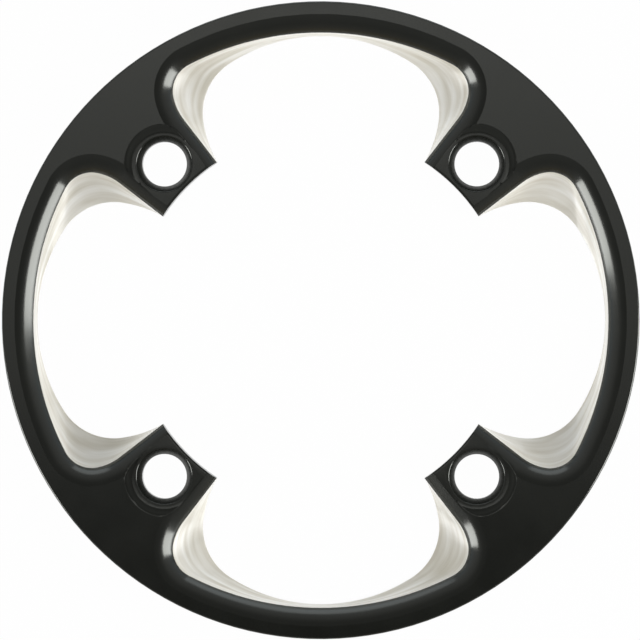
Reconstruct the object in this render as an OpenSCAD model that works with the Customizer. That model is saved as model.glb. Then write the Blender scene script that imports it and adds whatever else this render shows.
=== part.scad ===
// Chainring guard with four bolt arms, machined from one plate.
// It lies on its back face: Z = 0 is the mounting face, +Z is the front face.
// The origin is on the bolt circle's axis. The arms lie on the diagonals.
// All lengths are in millimetres and all angles in degrees.

/* [Ring] */
// Outer diameter of the guard
outer_d = 150; // [147:0.5:160]
// Plate thickness, from the mounting face to the front face
thickness = 7; // [6:0.1:9]
// Edge break round the outer rim, front and back
edge_break = 0.3; // [0.1:0.05:0.6]

/* [Bolt arms] */
// Diameter of the bolt circle
bolt_circle_d = 104; // [102:0.5:106]
// Bore for the chainring bolt sleeves
bolt_hole_d = 10.5; // [8.4:0.1:10.9]
// Diameter at the top of the chamfer round each bolt hole
bolt_chamfer_d = 13.2; // [11.6:0.1:13.6]
// Angle of that chamfer, measured from the pad
bolt_chamfer_angle = 57; // [40:1:60]
// Diameter of the circle that cuts the arm tips, the clear bore of the guard
tip_circle_d = 89; // [86:0.5:90]
// Width of the chamfer along the edge of each arm tip
tip_chamfer = 0.6; // [0.3:0.05:0.75]
// Angle of that chamfer, measured from the pad
tip_chamfer_angle = 20; // [15:1:45]
// Width of an arm across its bolt hole
arm_w = 20.2; // [19:0.1:21]
// Angle by which each side of an arm opens outwards
arm_flare = 7.4; // [6:0.2:9]
// Depth of the bolt pad below the front face
pad_depth = 0.55; // [0.4:0.05:0.9]
// Radius of the pad's flat floor round the bolt hole
pad_floor_r = 7; // [6.8:0.1:7.4]
// Radius of the cove that rises from the pad
pad_cove_r = 4; // [3:0.1:5]
// Radius of the round between that cove and the front face
pad_round_r = 3; // [2.5:0.1:5]
// Slope at which that round meets the front face
pad_top_slope = 5; // [4:0.5:8]

/* [Window outline at the front] */
// Width of the rim from the outer edge to the window edge
rim_w = 7.3; // [6.8:0.1:8.5]
// Radius of the tight corner of a window
corner_r = 7; // [6:0.1:8]
// Radius of the easier curve from the corner into the side of the arm
blend_r = 12.5; // [10:0.5:15]
// Angle through which that easier curve turns
blend_turn = 26; // [20:1:30]

/* [Window bevel] */
// Width of the crowned bevel round a window, seen from the front
bevel_w = 4.3; // [3.6:0.1:4.8]
// Slope of the bevel where it meets the front face
bevel_top_slope = 10; // [6:1:20]
// Slope of the bevel at the window edge
bevel_edge_slope = 52; // [44:1:58]

/* [Window wall] */
// How far the wall leans in at the middle of the rim
wall_lean = 0.7; // [0.3:0.1:1.5]
// Height of the upright land left at the back
wall_land = 0.8; // [0.4:0.1:1.2]
// Hollow of the wall: 1 is straight, more is steeper under the front edge
wall_hollow = 1.35; // [1:0.05:1.8]
// Radius of the back outline along the rim
back_rim_r = 39.5; // [38:0.5:43]
// Angle through which that part of the back outline turns
back_rim_turn = 33; // [30:0.5:35]
// Radius of the back outline round the corner
back_corner_r = 14; // [12:0.5:14.5]
// Radius of the back outline along the arm
back_side_r = 28; // [22:1:40]
// Least distance from the arm's tip corner to the back outline's corner arc
back_tip_gap = 1; // [0.5:0.1:1.4]

/* [Hidden] */
$fn = 144;

// Number of arms and windows
arms = 4;

// Steps along half a window outline: rim, corner, blend and arm side
rim_steps = 16;
corner_steps = 12;
blend_steps = 5;
side_steps = 7;
// Layers up the wall and up the bevel
wall_layers = 4;
bevel_layers = 6;
// Steps up the pad's cove, and as many up the round above it
pad_steps = 4;

// How far cutting solids run past the faces that they cut
past = 1;
// How far the pad's slope runs on above the front face
run_off = 0.1;
// How far a window's sides run on inside the tip circle
run_in = 2.6;

outer_r = outer_d / 2;
bolt_circle_r = bolt_circle_d / 2;
bolt_hole_r = bolt_hole_d / 2;
tip_r = tip_circle_d / 2;
rim_r = outer_r - rim_w;
pad_z = thickness - pad_depth;

// Steepest slope of the pad's side, and the distance from the bolt hole at which it ends
pad_slope = acos((pad_cove_r + pad_round_r * cos(pad_top_slope) - pad_depth) / (pad_cove_r + pad_round_r));
pad_end_r = pad_floor_r + (pad_cove_r + pad_round_r) * sin(pad_slope) - pad_round_r * sin(pad_top_slope);

// A direction, as an angle turned clockwise from the window's own axis
function way(t) = [sin(t), cos(t)];
function dot(p, q) = p[0] * q[0] + p[1] * q[1];
// How far along direction d from point p the circle of radius r about the centre lies
function reach(p, d, r) = -dot(p, d) + sqrt(pow(dot(p, d), 2) - dot(p, p) + r * r);

// Side of an arm, in the frame of the window above it: a point beside the bolt hole,
// the direction outwards along the side, and the direction into the arm
arm_turn = 180 / arms;
side_way = way(arm_turn - arm_flare);
side_out_turn = 90 + arm_turn - arm_flare;
side_out = way(side_out_turn);
beside_bolt = bolt_circle_r * way(arm_turn) + arm_w / 2 * way(arm_turn - 90);

// Front outline of a window: rim arc, tight corner, blend and straight side, all tangent
blend_out_turn = side_out_turn - blend_turn;
corner_from = beside_bolt - blend_r * side_out + (blend_r - corner_r) * way(blend_out_turn);
side_run = reach(corner_from, side_way, rim_r - corner_r);
corner_c = corner_from + side_run * side_way;
blend_c = beside_bolt + side_run * side_way - blend_r * side_out;
rim_turn = atan2(corner_c[0], corner_c[1]);
tip_run = reach(beside_bolt, side_way, tip_r);
tip_corner = beside_bolt + tip_run * side_way;

// Back outline: rim arc, corner arc, and an arc that meets the arm's tip corner.
// The wall left between the corner arc and the tip corner limits the corner's radius.
back_rim_c = [0, rim_r - wall_lean - back_rim_r];
back_rim_end = back_rim_c + back_rim_r * way(back_rim_turn);
tip_fall = tip_corner - back_rim_end;
back_fit_r = (dot(tip_fall, tip_fall) - back_tip_gap * back_tip_gap)
    / (2 * (back_tip_gap - dot(tip_fall, way(back_rim_turn))));
back_bend_r = min(back_corner_r, back_fit_r);
back_corner_c = back_rim_end - back_bend_r * way(back_rim_turn);
tip_line = tip_corner - back_corner_c;
tip_gap = norm(tip_line);
tip_dir = tip_line / tip_gap;
side_grow = back_side_r - back_bend_r;
side_part = (tip_gap * tip_gap + side_grow * side_grow - back_side_r * back_side_r) / (2 * tip_gap);
side_rise = sqrt(side_grow * side_grow - side_part * side_part);
back_side_c = back_corner_c + side_part * tip_dir + side_rise * [tip_dir[1], -tip_dir[0]];
back_corner_way = back_corner_c - back_side_c;
back_tip_way = tip_corner - back_side_c;
back_corner_turn = atan2(back_corner_way[0], back_corner_way[1]);
back_tip_turn = atan2(back_tip_way[0], back_tip_way[1]);
back_end_turn = back_tip_turn + run_in / back_side_r * 180 / PI;

// Crowned bevel: an arc whose slope falls from the window edge to the front face
crown_r = bevel_w / (sin(bevel_edge_slope) - sin(bevel_top_slope));
bevel_depth = crown_r * (cos(bevel_top_slope) - cos(bevel_edge_slope));
edge_z = thickness - bevel_depth;
function crown_slope(i) = bevel_edge_slope + (bevel_top_slope - bevel_edge_slope) * i / bevel_layers;
function crown_in(i) = crown_r * (sin(bevel_edge_slope) - sin(crown_slope(i)));
function crown_up(i) = crown_r * (cos(crown_slope(i)) - cos(bevel_edge_slope));
last = bevel_layers - 1;
last_slope = (crown_in(bevel_layers) - crown_in(last)) / (crown_up(bevel_layers) - crown_up(last));

// Half of the front outline from the middle of the rim, moved outwards by s
function front_half(s) = concat(
    [for (i = [0 : rim_steps]) (rim_r + s) * way(rim_turn * i / rim_steps)],
    [for (i = [1 : corner_steps])
        corner_c + (corner_r + s) * way(rim_turn + (blend_out_turn - rim_turn) * i / corner_steps)],
    [for (i = [1 : blend_steps])
        blend_c + (blend_r + s) * way(blend_out_turn + blend_turn * i / blend_steps)],
    [for (i = [1 : side_steps])
        beside_bolt + s * side_out
        + (side_run - (side_run - tip_run + run_in) * i / side_steps) * side_way]);

// Half of the back outline, with a point for each point of the front
bend_steps = corner_steps + blend_steps;
function back_half() = concat(
    [for (i = [0 : rim_steps]) back_rim_c + back_rim_r * way(back_rim_turn * i / rim_steps)],
    [for (i = [1 : bend_steps])
        back_corner_c
        + back_bend_r * way(back_rim_turn + (back_corner_turn - back_rim_turn) * i / bend_steps)],
    [for (i = [1 : side_steps])
        back_side_c
        + back_side_r * way(back_corner_turn + (back_end_turn - back_corner_turn) * i / side_steps)]);

// A whole outline at height z, from a half, left end to right end
function whole(half, z) = concat(
    [for (i = [len(half) - 1 : -1 : 1]) [-half[i][0], half[i][1], z]],
    [for (p = half) [p[0], p[1], z]]);

// Outline of the wall at share t of its height, 0 at the back and 1 at the window edge
function between(p, q, t) = let (k = pow(1 - t, wall_hollow)) q + (p - q) * k;
function wall_half(t) = let (b = back_half(), f = front_half(0))
    [for (i = [0 : len(f) - 1]) between(b[i], f[i], t)];

// All layers of a window, from below the back face to above the front face
function window_layers() = concat(
    [whole(back_half(), -past)],
    [for (k = [0 : wall_layers])
        whole(wall_half(k / wall_layers), wall_land + (edge_z - wall_land) * k / wall_layers)],
    [for (k = [1 : last]) whole(front_half(crown_in(k)), edge_z + crown_up(k))],
    [whole(front_half(bevel_w + past * last_slope), thickness + past)]);

// A closed solid through layers of equal length, with a centre point in each end face
module lofted(layers) {
    n = len(layers[0]);
    m = len(layers);
    low = layers[0];
    high = layers[m - 1];
    middle = [0, (low[0][1] + low[(n - 1) / 2][1]) / 2];
    points = concat([for (a = layers) for (p = a) p],
        [[middle[0], middle[1], low[0][2]], [middle[0], middle[1], high[0][2]]]);
    sides = [for (k = [0 : m - 2]) for (i = [0 : n - 1]) let (j = (i + 1) % n)
        each [[k * n + i, k * n + j, (k + 1) * n + j], [k * n + i, (k + 1) * n + j, (k + 1) * n + i]]];
    ends = [for (i = [0 : n - 1]) let (j = (i + 1) % n)
        each [[n * m, j, i], [n * m + 1, (m - 1) * n + i, (m - 1) * n + j]]];
    polyhedron(points, concat(sides, ends));
}

// The plate, turned, with its outer edges broken
module blank() {
    rotate_extrude()
        polygon([
            [0, 0],
            [outer_r - edge_break, 0],
            [outer_r, edge_break],
            [outer_r, thickness - edge_break],
            [outer_r - edge_break, thickness],
            [0, thickness]]);
}

// The clear bore with the chamfer of the arm tips
module bore_cut() {
    rotate_extrude()
        polygon([
            [0, -past],
            [tip_r, -past],
            [tip_r, pad_z - tip_chamfer * tan(tip_chamfer_angle)],
            [tip_r + tip_chamfer + past / tan(tip_chamfer_angle), pad_z + past],
            [0, pad_z + past]]);
    translate([0, 0, pad_z])
        cylinder(r = tip_r - past, h = pad_depth + past);
}

// Slope of the pad's round at step i, from its steepest to where it meets the front face
function round_slope(i) = pad_slope + (pad_top_slope - pad_slope) * i / pad_steps;

// Half the section of the pad cutter: a flat floor, a cove and a round, run on past the face
module pad_section(side) {
    cove = [for (i = [0 : pad_steps]) let (a = pad_slope * i / pad_steps)
        [pad_floor_r + pad_cove_r * sin(a), pad_cove_r * (1 - cos(a))]];
    brow = [for (i = [1 : pad_steps]) let (a = round_slope(i))
        [pad_end_r - pad_round_r * (sin(a) - sin(pad_top_slope)),
            pad_depth - pad_round_r * (cos(pad_top_slope) - cos(a))]];
    top = brow[pad_steps - 1];
    rise = top - brow[pad_steps - 2];
    over = top + run_off * rise / rise[1];
    half = concat([[0, 0]], cove, brow, [over, [over[0], pad_depth + past], [0, pad_depth + past]]);
    polygon([for (p = half) [side * p[0], p[1]]]);
}

// The lowered bolt pad, round at its outer end and open towards the tip of the arm
module pad_cut() {
    reach_in = bolt_circle_r - tip_r + 2 * past;
    translate([bolt_circle_r, 0, pad_z]) {
        rotate_extrude(angle = 180, start = -90)
            pad_section(1);
        translate([-reach_in, 0, 0])
            rotate([90, 0, 90])
                linear_extrude(height = reach_in)
                    union() {
                        pad_section(-1);
                        pad_section(1);
                    }
    }
}

// A bolt hole with its chamfer
module bolt_cut() {
    drop = (bolt_chamfer_d - bolt_hole_d) / 2 * tan(bolt_chamfer_angle);
    more = past / tan(bolt_chamfer_angle);
    translate([bolt_circle_r, 0, 0]) {
        translate([0, 0, -past])
            cylinder(r = bolt_hole_r, h = thickness + 2 * past);
        translate([0, 0, pad_z - drop - past])
            cylinder(r1 = bolt_hole_r - more, r2 = bolt_chamfer_d / 2 + more, h = drop + 2 * past);
    }
}

module guard_ring() {
    color("dimgray")
        difference() {
            blank();
            bore_cut();
            for (k = [0 : arms - 1])
                rotate(360 / arms * k)
                    lofted(window_layers());
            for (k = [0 : arms - 1])
                rotate(360 / arms * (k + 0.5)) {
                    pad_cut();
                    bolt_cut();
                }
        }
}

guard_ring();
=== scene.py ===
import math

import bpy
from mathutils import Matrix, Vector


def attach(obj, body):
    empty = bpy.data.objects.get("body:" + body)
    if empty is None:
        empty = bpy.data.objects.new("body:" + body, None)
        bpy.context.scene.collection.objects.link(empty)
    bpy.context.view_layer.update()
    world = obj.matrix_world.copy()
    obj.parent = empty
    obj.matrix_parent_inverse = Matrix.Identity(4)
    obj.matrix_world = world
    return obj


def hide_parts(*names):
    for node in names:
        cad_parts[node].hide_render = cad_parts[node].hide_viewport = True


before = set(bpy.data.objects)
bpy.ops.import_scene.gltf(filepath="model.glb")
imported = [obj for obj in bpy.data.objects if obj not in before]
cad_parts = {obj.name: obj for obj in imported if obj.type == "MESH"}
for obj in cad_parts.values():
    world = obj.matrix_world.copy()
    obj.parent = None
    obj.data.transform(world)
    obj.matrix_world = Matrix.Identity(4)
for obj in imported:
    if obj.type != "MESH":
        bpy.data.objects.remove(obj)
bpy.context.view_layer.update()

MM = 0.001

# Floor
# A matt white table top, on which the guard lies on its back face. The background
# burns out to white, and the floor still takes the guard's soft shadow.
FLOOR_SIZE = 8.0
FLOOR_GAP = 0.2 * MM
FLOOR_WHITE = (0.8, 0.8, 0.8, 1)
FLOOR_GLOW = 0.985


def new_material(name):
    """An empty material and its node tree."""
    material = bpy.data.materials.new(name)
    material.use_nodes = True
    material.node_tree.nodes.clear()
    return material, material.node_tree


def add_node(tree, kind, **settings):
    node = tree.nodes.new(kind)
    for key, value in settings.items():
        setattr(node, key, value)
    return node


def seen_directly(tree):
    """1 where the camera sees a surface, also in a mirror or through glass, and 0 for soft light."""
    path = add_node(tree, "ShaderNodeLightPath")
    mirror = add_node(tree, "ShaderNodeMath", operation="ADD")
    both = add_node(tree, "ShaderNodeMath", operation="ADD", use_clamp=True)
    tree.links.new(path.outputs["Is Glossy Ray"], mirror.inputs[0])
    tree.links.new(path.outputs["Is Transmission Ray"], mirror.inputs[1])
    tree.links.new(path.outputs["Is Camera Ray"], both.inputs[0])
    tree.links.new(mirror.outputs[0], both.inputs[1])
    return both.outputs[0]


def white_floor():
    """Matt white for soft light, and almost plain white to the eye."""
    material, tree = new_material("white_floor")
    matt = add_node(tree, "ShaderNodeBsdfDiffuse")
    matt.inputs["Color"].default_value = FLOOR_WHITE
    glow = add_node(tree, "ShaderNodeEmission")
    share = add_node(tree, "ShaderNodeMath", operation="MULTIPLY")
    share.inputs[1].default_value = FLOOR_GLOW
    mix = add_node(tree, "ShaderNodeMixShader")
    out = add_node(tree, "ShaderNodeOutputMaterial")
    tree.links.new(seen_directly(tree), share.inputs[0])
    tree.links.new(share.outputs[0], mix.inputs[0])
    tree.links.new(matt.outputs[0], mix.inputs[1])
    tree.links.new(glow.outputs[0], mix.inputs[2])
    tree.links.new(mix.outputs[0], out.inputs["Surface"])
    return material


bpy.ops.object.select_all(action="DESELECT")
bpy.ops.mesh.primitive_plane_add(size=FLOOR_SIZE, location=(0, 0, -FLOOR_GAP))
floor = bpy.context.object
floor.name = "table_top"
floor.data.materials.append(white_floor())

# Guard ring
# One ring with four bolt arms, machined from a single aluminium plate and anodised black
# all over. The window walls are milled once more after that, so they are bare metal with
# fine milling marks, under a clear seal.
THICKNESS = 7 * MM
OUTER_R = 75 * MM
RIM_WINDOW_R = 67.7 * MM
TIP_R = 44.5 * MM
BOLT_CIRCLE_R = 52 * MM
BOLT_HOLE_R = 5.25 * MM
CHAMFER_REACH = BOLT_HOLE_R + 1.6 * MM
PAD_Z = THICKNESS - 0.55 * MM
PAD_REACH = 9.7 * MM
BEVEL_W = 4.3 * MM
BEVEL_TOP_SLOPE = math.radians(10)
BEVEL_EDGE_SLOPE = math.radians(52)
CROWN_R = BEVEL_W / (math.sin(BEVEL_EDGE_SLOPE) - math.sin(BEVEL_TOP_SLOPE))
WINDOW_EDGE_Z = THICKNESS - CROWN_R * (math.cos(BEVEL_TOP_SLOPE) - math.cos(BEVEL_EDGE_SLOPE))

# How much the sharp edges are rounded
EDGE_ROUND = 0.1 * MM
CHAMFER_ROUND = 0.2 * MM
RIDGE_ROUND = 0.2 * MM

# The turn from which a line between two faces counts as an edge of each kind
SHARP_TURN = math.radians(22)
RIDGE_TURN = math.radians(9)
CREASE_TURN = math.radians(4)
WALL_EDGE_TURN = math.radians(1)
FLAT_TURN = math.radians(0.5)
SMOOTH_TURN = math.radians(35)

# Margins by which the lines and the walls are told from their neighbours
MERGE_GAP = 0.002 * MM
ON_FACE = 0.001 * MM
ON_LEVEL = 0.01 * MM
BESIDE = 1 * MM
WINDOW_FROM_R = TIP_R + 0.05 * MM
WINDOW_TO_R = RIM_WINDOW_R + 1 * MM
WALL_FROM_R = TIP_R + 0.2 * MM
WALL_TO_R = RIM_WINDOW_R + 0.5 * MM
HOLE_WALL_REACH = BOLT_HOLE_R + 0.5 * MM
FACING_DOWN = -0.5
FACE_WEIGHT = 90


def ring_copy(node, name):
    """A copy of the CAD node with its loose triangles merged into one closed skin."""
    piece = bpy.data.objects.new(name, node.data.copy())
    bpy.context.scene.collection.objects.link(piece)
    bpy.ops.object.select_all(action="DESELECT")
    piece.select_set(True)
    bpy.context.view_layer.objects.active = piece
    bpy.ops.object.mode_set(mode="EDIT")
    bpy.ops.mesh.select_all(action="SELECT")
    bpy.ops.mesh.remove_doubles(threshold=MERGE_GAP)
    bpy.ops.mesh.dissolve_limited(angle_limit=FLAT_TURN)
    bpy.ops.object.mode_set(mode="OBJECT")
    return piece


def axis_distance(point):
    """Distance of a point from the guard's axis."""
    return math.hypot(point.x, point.y)


def hole_distance(point):
    """Distance of a point from the axis of the nearest bolt hole."""
    hole = BOLT_CIRCLE_R / math.sqrt(2)
    return math.hypot(abs(point.x) - hole, abs(point.y) - hole)


def select_edges(piece, turn, wanted):
    """Selects the edges that turn by more than that, where both ends are wanted."""
    bpy.ops.object.mode_set(mode="EDIT")
    bpy.ops.mesh.select_all(action="DESELECT")
    bpy.ops.mesh.select_mode(type="EDGE")
    bpy.ops.mesh.edges_select_sharp(sharpness=turn)
    bpy.ops.object.mode_set(mode="OBJECT")
    points = piece.data.vertices
    piece.data.polygons.foreach_set("select", [False] * len(piece.data.polygons))
    points.foreach_set("select", [False] * len(points))
    for edge in piece.data.edges:
        if edge.select:
            edge.select = all(wanted(points[index].co) for index in edge.vertices)
    bpy.ops.object.mode_set(mode="EDIT")


def round_edges(piece, turn, wanted, width, segments):
    select_edges(piece, turn, wanted)
    bpy.ops.mesh.bevel(offset=width, segments=segments, profile=0.5, clamp_overlap=False)
    bpy.ops.object.mode_set(mode="OBJECT")


def keep_sharp(piece, turn, wanted):
    select_edges(piece, turn, wanted)
    bpy.ops.mesh.mark_sharp()
    bpy.ops.object.mode_set(mode="OBJECT")


def on_crease(point):
    """The lines along which the window bevels and bolt pads run out into the front face."""
    on_front = point.z > THICKNESS - ON_FACE
    return on_front and TIP_R + BESIDE < axis_distance(point) < OUTER_R - BESIDE


def on_ridge(point):
    """The line along which the window bevels are cut by the lower bolt pads."""
    level = PAD_Z - 2 * ON_LEVEL < point.z < THICKNESS - ON_LEVEL
    beside_tip = axis_distance(point) > TIP_R + BESIDE
    return level and beside_tip and CHAMFER_REACH < hole_distance(point) < PAD_REACH


def on_chamfer(point):
    """The upper edge of the chamfer round each bolt hole."""
    return abs(point.z - PAD_Z) < ON_LEVEL and hole_distance(point) < CHAMFER_REACH


def on_wall_edge(point):
    """The line between the black window bevels and the bare walls."""
    level = abs(point.z - WINDOW_EDGE_Z) < ON_LEVEL
    in_window = WINDOW_FROM_R < axis_distance(point) < WINDOW_TO_R
    return level and in_window and hole_distance(point) > CHAMFER_REACH


def elsewhere(point):
    """Every other edge."""
    return not (on_chamfer(point) or on_ridge(point) or on_wall_edge(point))


def is_wall(face):
    """True for the bare walls of the windows."""
    return (
        face.center.z < WINDOW_EDGE_Z
        and WALL_FROM_R < axis_distance(face.center) < WALL_TO_R
        and hole_distance(face.center) > HOLE_WALL_REACH
        and face.normal.z > FACING_DOWN
    )


guard = ring_copy(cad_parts["guard_ring"], "chainring_guard")
round_edges(guard, RIDGE_TURN, on_ridge, RIDGE_ROUND, 3)
round_edges(guard, SHARP_TURN, elsewhere, EDGE_ROUND, 2)
round_edges(guard, SHARP_TURN, on_chamfer, CHAMFER_ROUND, 3)
keep_sharp(guard, CREASE_TURN, on_crease)
keep_sharp(guard, WALL_EDGE_TURN, on_wall_edge)


def handling_marks():
    """Soft clouds and fine grain that every finish of the guard shows in its own measure."""
    group = bpy.data.node_groups.new("handling_marks", "ShaderNodeTree")
    for name, side, kind in (
        ("Cloud Size", "INPUT", "NodeSocketFloat"),
        ("Grain Size", "INPUT", "NodeSocketFloat"),
        ("Stretch", "INPUT", "NodeSocketVector"),
        ("Clouds", "OUTPUT", "NodeSocketFloat"),
        ("Grain", "OUTPUT", "NodeSocketFloat"),
    ):
        group.interface.new_socket(name, in_out=side, socket_type=kind)
    given = add_node(group, "NodeGroupInput")
    out = add_node(group, "NodeGroupOutput")
    where = add_node(group, "ShaderNodeTexCoord")
    stretch = add_node(group, "ShaderNodeVectorMath", operation="MULTIPLY")
    clouds = add_node(group, "ShaderNodeTexNoise")
    grain = add_node(group, "ShaderNodeTexNoise")
    clouds.inputs["Detail"].default_value = 3
    grain.inputs["Detail"].default_value = 2
    group.links.new(where.outputs["Object"], clouds.inputs["Vector"])
    group.links.new(where.outputs["Object"], stretch.inputs[0])
    group.links.new(given.outputs["Stretch"], stretch.inputs[1])
    group.links.new(stretch.outputs[0], grain.inputs["Vector"])
    for size, noise in (("Cloud Size", clouds), ("Grain Size", grain)):
        scale = add_node(group, "ShaderNodeMath", operation="DIVIDE")
        scale.inputs[0].default_value = 1
        group.links.new(given.outputs[size], scale.inputs[1])
        group.links.new(scale.outputs[0], noise.inputs["Scale"])
    group.links.new(clouds.outputs["Fac"], out.inputs["Clouds"])
    group.links.new(grain.outputs["Fac"], out.inputs["Grain"])
    return group


MARKS = handling_marks()
NOISE_MIDDLE = (0.3, 0.7)
RELIEF_STRENGTH = 0.5


def marks_in(tree, cloud_size, grain_size, stretch=(1, 1, 1)):
    marks = add_node(tree, "ShaderNodeGroup", node_tree=MARKS)
    marks.inputs["Cloud Size"].default_value = cloud_size
    marks.inputs["Grain Size"].default_value = grain_size
    marks.inputs["Stretch"].default_value = stretch
    return marks.outputs["Clouds"], marks.outputs["Grain"]


def spread(tree, source, low, high):
    """Spreads the middle of a noise between two values."""
    ramp = add_node(tree, "ShaderNodeMapRange")
    ramp.inputs["From Min"].default_value = NOISE_MIDDLE[0]
    ramp.inputs["From Max"].default_value = NOISE_MIDDLE[1]
    ramp.inputs["To Min"].default_value = low
    ramp.inputs["To Max"].default_value = high
    tree.links.new(source, ramp.inputs["Value"])
    return ramp.outputs["Result"]


def blend(tree, source, first, second):
    """Goes from one colour to the other over the middle of a noise."""
    mix = add_node(tree, "ShaderNodeMix", data_type="RGBA")
    tree.links.new(spread(tree, source, 0, 1), mix.inputs["Factor"])
    mix.inputs["A"].default_value = first
    mix.inputs["B"].default_value = second
    return mix.outputs["Result"]


def relief(tree, source, depth):
    """The slopes of a surface that a noise raises by that depth."""
    bump = add_node(tree, "ShaderNodeBump")
    bump.inputs["Distance"].default_value = depth
    bump.inputs["Strength"].default_value = RELIEF_STRENGTH
    tree.links.new(source, bump.inputs["Height"])
    return bump.outputs["Normal"]


def new_finish(name):
    """A material with one shader, the shader and the node tree."""
    material, tree = new_material(name)
    shader = add_node(tree, "ShaderNodeBsdfPrincipled")
    out = add_node(tree, "ShaderNodeOutputMaterial")
    tree.links.new(shader.outputs[0], out.inputs["Surface"])
    return material, shader, tree


OXIDE_DARK = (0.0040, 0.0045, 0.0032, 1)
OXIDE_PALE = (0.0056, 0.0061, 0.0044, 1)
OXIDE_TINT = (0.98, 1.0, 0.94, 1)
OXIDE_IOR = 1.7
OXIDE_ROUGH = (0.15, 0.19)
OXIDE_CLOUD = 12 * MM
OXIDE_GRAIN = 0.25 * MM
OXIDE_RELIEF = 0.002 * MM


def black_anodised():
    """A dense black oxide film, which mirrors the room softly."""
    material, shader, tree = new_finish("black_anodised")
    shader.inputs["IOR"].default_value = OXIDE_IOR
    shader.inputs["Specular Tint"].default_value = OXIDE_TINT
    clouds, grain = marks_in(tree, OXIDE_CLOUD, OXIDE_GRAIN)
    tree.links.new(blend(tree, clouds, OXIDE_DARK, OXIDE_PALE), shader.inputs["Base Color"])
    tree.links.new(spread(tree, clouds, *OXIDE_ROUGH), shader.inputs["Roughness"])
    tree.links.new(relief(tree, grain, OXIDE_RELIEF), shader.inputs["Normal"])
    return material


MILLED_DULL = (0.79, 0.765, 0.69, 1)
MILLED_BRIGHT = (0.96, 0.955, 0.925, 1)
MILLED_ROUGH = (0.8, 0.95)
MILLED_CLOUD = 9 * MM
MARK_WIDTH = 0.7 * MM
MARK_STRETCH = (0.04, 0.04, 1)
MARK_RELIEF = 0.01 * MM
SEAL_IOR = 1.52
SEAL_ROUGH = 0.3


def bare_aluminium():
    """Milled metal with marks that run round the window, under a clear seal."""
    material, shader, tree = new_finish("bare_aluminium")
    shader.inputs["Metallic"].default_value = 1
    shader.inputs["Coat Weight"].default_value = 1
    shader.inputs["Coat IOR"].default_value = SEAL_IOR
    shader.inputs["Coat Roughness"].default_value = SEAL_ROUGH
    clouds, grain = marks_in(tree, MILLED_CLOUD, MARK_WIDTH, MARK_STRETCH)
    tree.links.new(blend(tree, grain, MILLED_DULL, MILLED_BRIGHT), shader.inputs["Base Color"])
    tree.links.new(spread(tree, clouds, *MILLED_ROUGH), shader.inputs["Roughness"])
    tree.links.new(relief(tree, grain, MARK_RELIEF), shader.inputs["Normal"])
    return material


guard.data.materials.clear()
guard.data.materials.append(black_anodised())
guard.data.materials.append(bare_aluminium())
for face in guard.data.polygons:
    face.material_index = 1 if is_wall(face) else 0

bpy.ops.object.select_all(action="DESELECT")
guard.select_set(True)
bpy.context.view_layer.objects.active = guard
bpy.ops.object.shade_smooth_by_angle(angle=SMOOTH_TURN)
weighted = guard.modifiers.new("weighted_normals", "WEIGHTED_NORMAL")
weighted.keep_sharp = True
weighted.weight = FACE_WEIGHT
bpy.ops.object.modifier_apply(modifier=weighted.name)

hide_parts("guard_ring")
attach(guard, "root")

# Studio light
# Three dim panels side by side above the guard give its faces their sheen. Two bright
# panels stand at the sides and draw the lines of light on the bevels, and a broad soft
# one fills from behind.
SHEEN_X = -0.03
SHEEN_Z = 1.0
SHEEN_W = 0.44
SHEEN_PANELS = (
    ("sheen_panel_near", -0.05, 0.04, 0.44),
    ("sheen_panel_middle", 0.04, 0.11, 0.5),
    ("sheen_panel_far", 0.11, 0.19, 1.15),
)
RIGHT_PLACE = (0.407, -0.113, 0.18)
LEFT_PLACE = (-1.128, -0.456, 0.44)
SIDE_BRIGHTNESS = 7
FILL_PLACE = (0, 1.1, 0.2)
FILL_BRIGHTNESS = 0.9
FILL_COLOUR = (0.95, 1, 1.04)


def panel(name, place, aim, width, height, brightness, colour=(1, 1, 1)):
    """A soft panel of light of that brightness, where 1 is the white of the background."""
    lamp = bpy.data.lights.new(name, "AREA")
    lamp.shape = "RECTANGLE"
    lamp.size = width
    lamp.size_y = height
    lamp.energy = brightness * math.pi * width * height
    lamp.color = colour
    stand = bpy.data.objects.new(name, lamp)
    stand.location = place
    stand.rotation_mode = "QUATERNION"
    stand.rotation_quaternion = (Vector(aim) - Vector(place)).to_track_quat("-Z", "Y")
    stand.visible_camera = False
    bpy.context.scene.collection.objects.link(stand)


def upright_panel(name, place, width, height):
    """A side panel that faces the guard's axis and stands straight."""
    panel(name, place, (0, 0, place[2]), width, height, SIDE_BRIGHTNESS)


for name, start, end, brightness in SHEEN_PANELS:
    middle = (start + end) / 2
    panel(name, (SHEEN_X, middle, SHEEN_Z), (SHEEN_X, middle, 0), SHEEN_W, end - start, brightness)
upright_panel("right_panel", RIGHT_PLACE, width=0.26, height=0.36)
upright_panel("left_panel", LEFT_PLACE, width=0.54, height=0.88)
panel("fill_panel", FILL_PLACE, (0, 0, 0), 1.2, 0.5, FILL_BRIGHTNESS, FILL_COLOUR)

# Room
# The grey walls and ceiling that the black finish mirrors, warm and dim on the near side
# and cool and paler on the others. The camera itself sees plain white past the floor.
ROOM_NEAR = (
    (0, (0.38, 0.32, 0.22)),
    (0.3, (0.26, 0.25, 0.24)),
    (0.62, (0.2, 0.2, 0.2)),
    (0.8, (0.23, 0.23, 0.23)),
    (0.95, (0.26, 0.26, 0.26)),
    (0.98, (0.12, 0.12, 0.12)),
    (1, (0.03, 0.03, 0.03)),
)
ROOM_AROUND = (
    (0, (0.52, 0.59, 0.66)),
    (0.3, (0.47, 0.48, 0.49)),
    (0.62, (0.36, 0.36, 0.36)),
    (0.8, (0.2, 0.2, 0.2)),
    (0.94, (0.14, 0.14, 0.14)),
    (0.98, (0.09, 0.09, 0.09)),
    (1, (0.03, 0.03, 0.03)),
)
NEAR_SIDE = -0.9
OTHER_SIDES = -0.2
LEAST_ACROSS = 0.02


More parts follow.
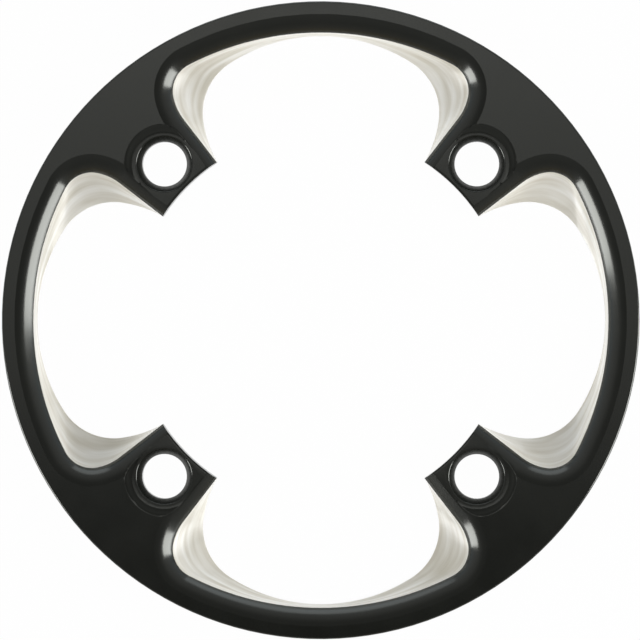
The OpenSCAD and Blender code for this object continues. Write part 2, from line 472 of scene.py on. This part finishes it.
def room_colours(tree, height, colours):
    """The colour of the room at each height, from the horizon to straight above."""
    ramp = add_node(tree, "ShaderNodeValToRGB")
    for place, colour in colours[1:-1]:
        ramp.color_ramp.elements.new(place).color = colour + (1,)
    for index in (0, -1):
        ramp.color_ramp.elements[index].position = colours[index][0]
        ramp.color_ramp.elements[index].color = colours[index][1] + (1,)
    tree.links.new(height, ramp.inputs["Fac"])
    return ramp.outputs["Color"]


def number(tree, operation, *inputs):
    """The result of a sum on numbers or on what other nodes put out."""
    node = add_node(tree, "ShaderNodeMath", operation=operation)
    for socket, value in zip(node.inputs, inputs):
        if isinstance(value, (int, float)):
            socket.default_value = value
        else:
            tree.links.new(value, socket)
    return node.outputs[0]


world = bpy.data.worlds.new("studio")
bpy.context.scene.world = world
world.use_nodes = True
tree = world.node_tree
tree.nodes.clear()
where = add_node(tree, "ShaderNodeTexCoord")
split = add_node(tree, "ShaderNodeSeparateXYZ")
tree.links.new(where.outputs["Generated"], split.inputs[0])
up = split.outputs["Z"]
across = number(tree, "SQRT", number(tree, "SUBTRACT", 1, number(tree, "POWER", up, 2)))
away = number(tree, "DIVIDE", split.outputs["Y"], number(tree, "MAXIMUM", across, LEAST_ACROSS))
share = add_node(tree, "ShaderNodeMapRange")
share.inputs["From Min"].default_value = NEAR_SIDE
share.inputs["From Max"].default_value = OTHER_SIDES
tree.links.new(away, share.inputs["Value"])
colours = add_node(tree, "ShaderNodeMix", data_type="RGBA")
tree.links.new(share.outputs["Result"], colours.inputs["Factor"])
tree.links.new(room_colours(tree, up, ROOM_NEAR), colours.inputs["A"])
tree.links.new(room_colours(tree, up, ROOM_AROUND), colours.inputs["B"])
room = add_node(tree, "ShaderNodeBackground")
tree.links.new(colours.outputs["Result"], room.inputs["Color"])
white = add_node(tree, "ShaderNodeBackground")
white.inputs["Color"].default_value = (1, 1, 1, 1)
path = add_node(tree, "ShaderNodeLightPath")
mix = add_node(tree, "ShaderNodeMixShader")
out = add_node(tree, "ShaderNodeOutputWorld")
tree.links.new(path.outputs["Is Camera Ray"], mix.inputs[0])
tree.links.new(room.outputs[0], mix.inputs[1])
tree.links.new(white.outputs[0], mix.inputs[2])
tree.links.new(mix.outputs[0], out.inputs["Surface"])

# Camera
# A long lens, almost straight above the guard and a little to its right.
CAMERA_FROM = 1.6
CAMERA_ASIDE = 0.0405
LENS = 382.9
SENSOR = 36
CLIP_FROM = 0.1
CLIP_TO = 20
AIM = Vector((-0.07 * MM, 0.05 * MM, THICKNESS))

camera = bpy.data.objects.new("camera", bpy.data.cameras.new("camera"))
camera.data.lens = LENS
camera.data.sensor_width = SENSOR
camera.data.clip_start = CLIP_FROM
camera.data.clip_end = CLIP_TO
camera.location = AIM + Vector((CAMERA_ASIDE, 0, math.sqrt(CAMERA_FROM**2 - CAMERA_ASIDE**2)))
camera.rotation_euler = (0, math.asin(CAMERA_ASIDE / CAMERA_FROM), 0)
bpy.context.scene.collection.objects.link(camera)
bpy.context.scene.camera = camera
bpy.context.scene.view_settings.view_transform = "Standard"
